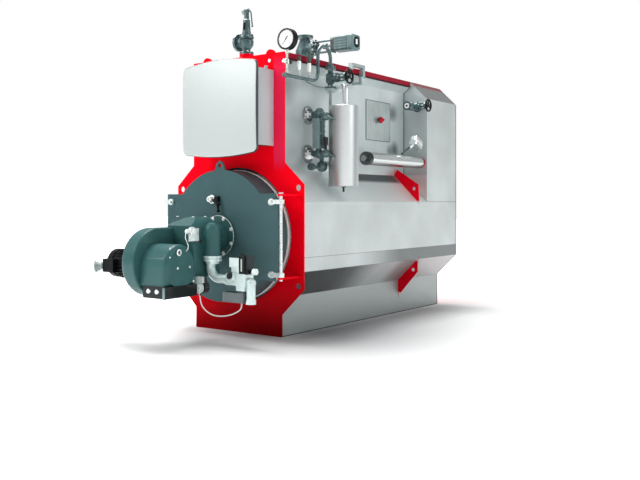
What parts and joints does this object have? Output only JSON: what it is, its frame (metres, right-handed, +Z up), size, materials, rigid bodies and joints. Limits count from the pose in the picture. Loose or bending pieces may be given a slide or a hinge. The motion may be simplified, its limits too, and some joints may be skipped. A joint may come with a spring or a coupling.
{
  "type": "industrial steam boiler",
  "caption": "Floor-standing fire-tube steam boiler: sheet casing between red end frames, hinged front door carrying a gas burner, cabinet above, valves, level gauge and vessel at the side.",
  "frame": {"origin": "on the floor at the middle of the base, under the middle cross beam", "axes": "+Z up, -Y towards the burner and the door, +X towards the side with the level gauge and valves"},
  "size_m": [1.424, 3.636, 2.602],
  "materials": {
    "red_paint": "gloss",
    "casing_sheet": "embossed satin",
    "cover_paint": "satin",
    "base_steel": "matt",
    "seat_white": "satin",
    "lining": "rough",
    "door_paint": "satin",
    "bright_steel": "satin",
    "polished_steel": "polished",
    "burner_paint": "gloss",
    "cast_grey": "painted",
    "black": "satin",
    "brass": "satin",
    "cable_white": "matt"
  },
  "bodies": {
    "boiler": {"access_panel": "casing_sheet", "actuator": "cast_grey", "base_frame": "base_steel", "boiler_shell": "base_steel", "cabinet_body": "casing_sheet", "cabinet_cover": "cover_paint", "casing_side_left": "casing_sheet", "casing_side_right": "casing_sheet", "door_seat": "seat_white", "electrode_vessel": "polished_steel", "feed_valve": "cast_grey", "flame_tube": "base_steel", "front_frame": "red_paint", "gauge_cock": "bright_steel", "hinge_rod": "bright_steel", "instrument_bracket": "bright_steel", "insulated_line": "polished_steel", "level_cock_lower": "cast_grey", "level_cock_upper": "cast_grey", "level_gauge": "cast_grey", "level_pipe": "bright_steel", "level_probe": "black", "mid_frame": "red_paint", "pressure_gauge": "black", "pressure_line": "cast_grey", "pressure_switch_front": "brass", "pressure_switch_rear": "brass", "rear_casing_left": "casing_sheet", "rear_casing_right": "casing_sheet", "rear_frame": "red_paint", "recess_wall_left": "casing_sheet", "recess_wall_right": "casing_sheet", "roof_rail_left": "red_paint", "roof_rail_right": "red_paint", "roof_sheet": "casing_sheet", "safety_nozzle": "red_paint", "safety_valve": "cast_grey", "shutoff_valve": "cast_grey", "steam_valve": "cast_grey", "tube_plate": "base_steel"},
    "burner_door": {"door": "door_paint", "door_lining": "lining", "hinge_eye_lower": "bright_steel", "hinge_eye_upper": "bright_steel", "closing_bolt_lower": "bright_steel", "closing_bolt_upper": "bright_steel", "burner_flange": "burner_paint", "burner_casing": "burner_paint", "intake_hood": "burner_paint", "burner_motor": "black", "gas_elbow": "bright_steel", "gas_valve": "bright_steel", "gas_regulator": "black", "air_servo": "black", "servo_cable": "cable_white", "motor_plug": "bright_steel", "air_switch": "bright_steel", "gas_drives": "bright_steel"},
    "shutoff_wheel": {"shutoff_handwheel": "black"},
    "feed_wheel": {"feed_handwheel": "black"}
  },
  "joints": [
    {"name": "door_hinge", "type": "hinge", "parent": "boiler", "child": "burner_door", "pos_m": [0.587, -1.502, 0.76], "axis": [0, 0, 1], "range_deg": [0, 105]},
    {"name": "shutoff_wheel_turn", "type": "hinge", "parent": "boiler", "child": "shutoff_wheel", "pos_m": [0.69, -0.747, 2.008], "axis": [1, 0, 0], "range_deg": [0, 720]},
    {"name": "feed_wheel_turn", "type": "hinge", "parent": "boiler", "child": "feed_wheel", "pos_m": [0.715, 0.554, 1.9], "axis": [1, 0, 0], "range_deg": [0, 720]}
  ]
}
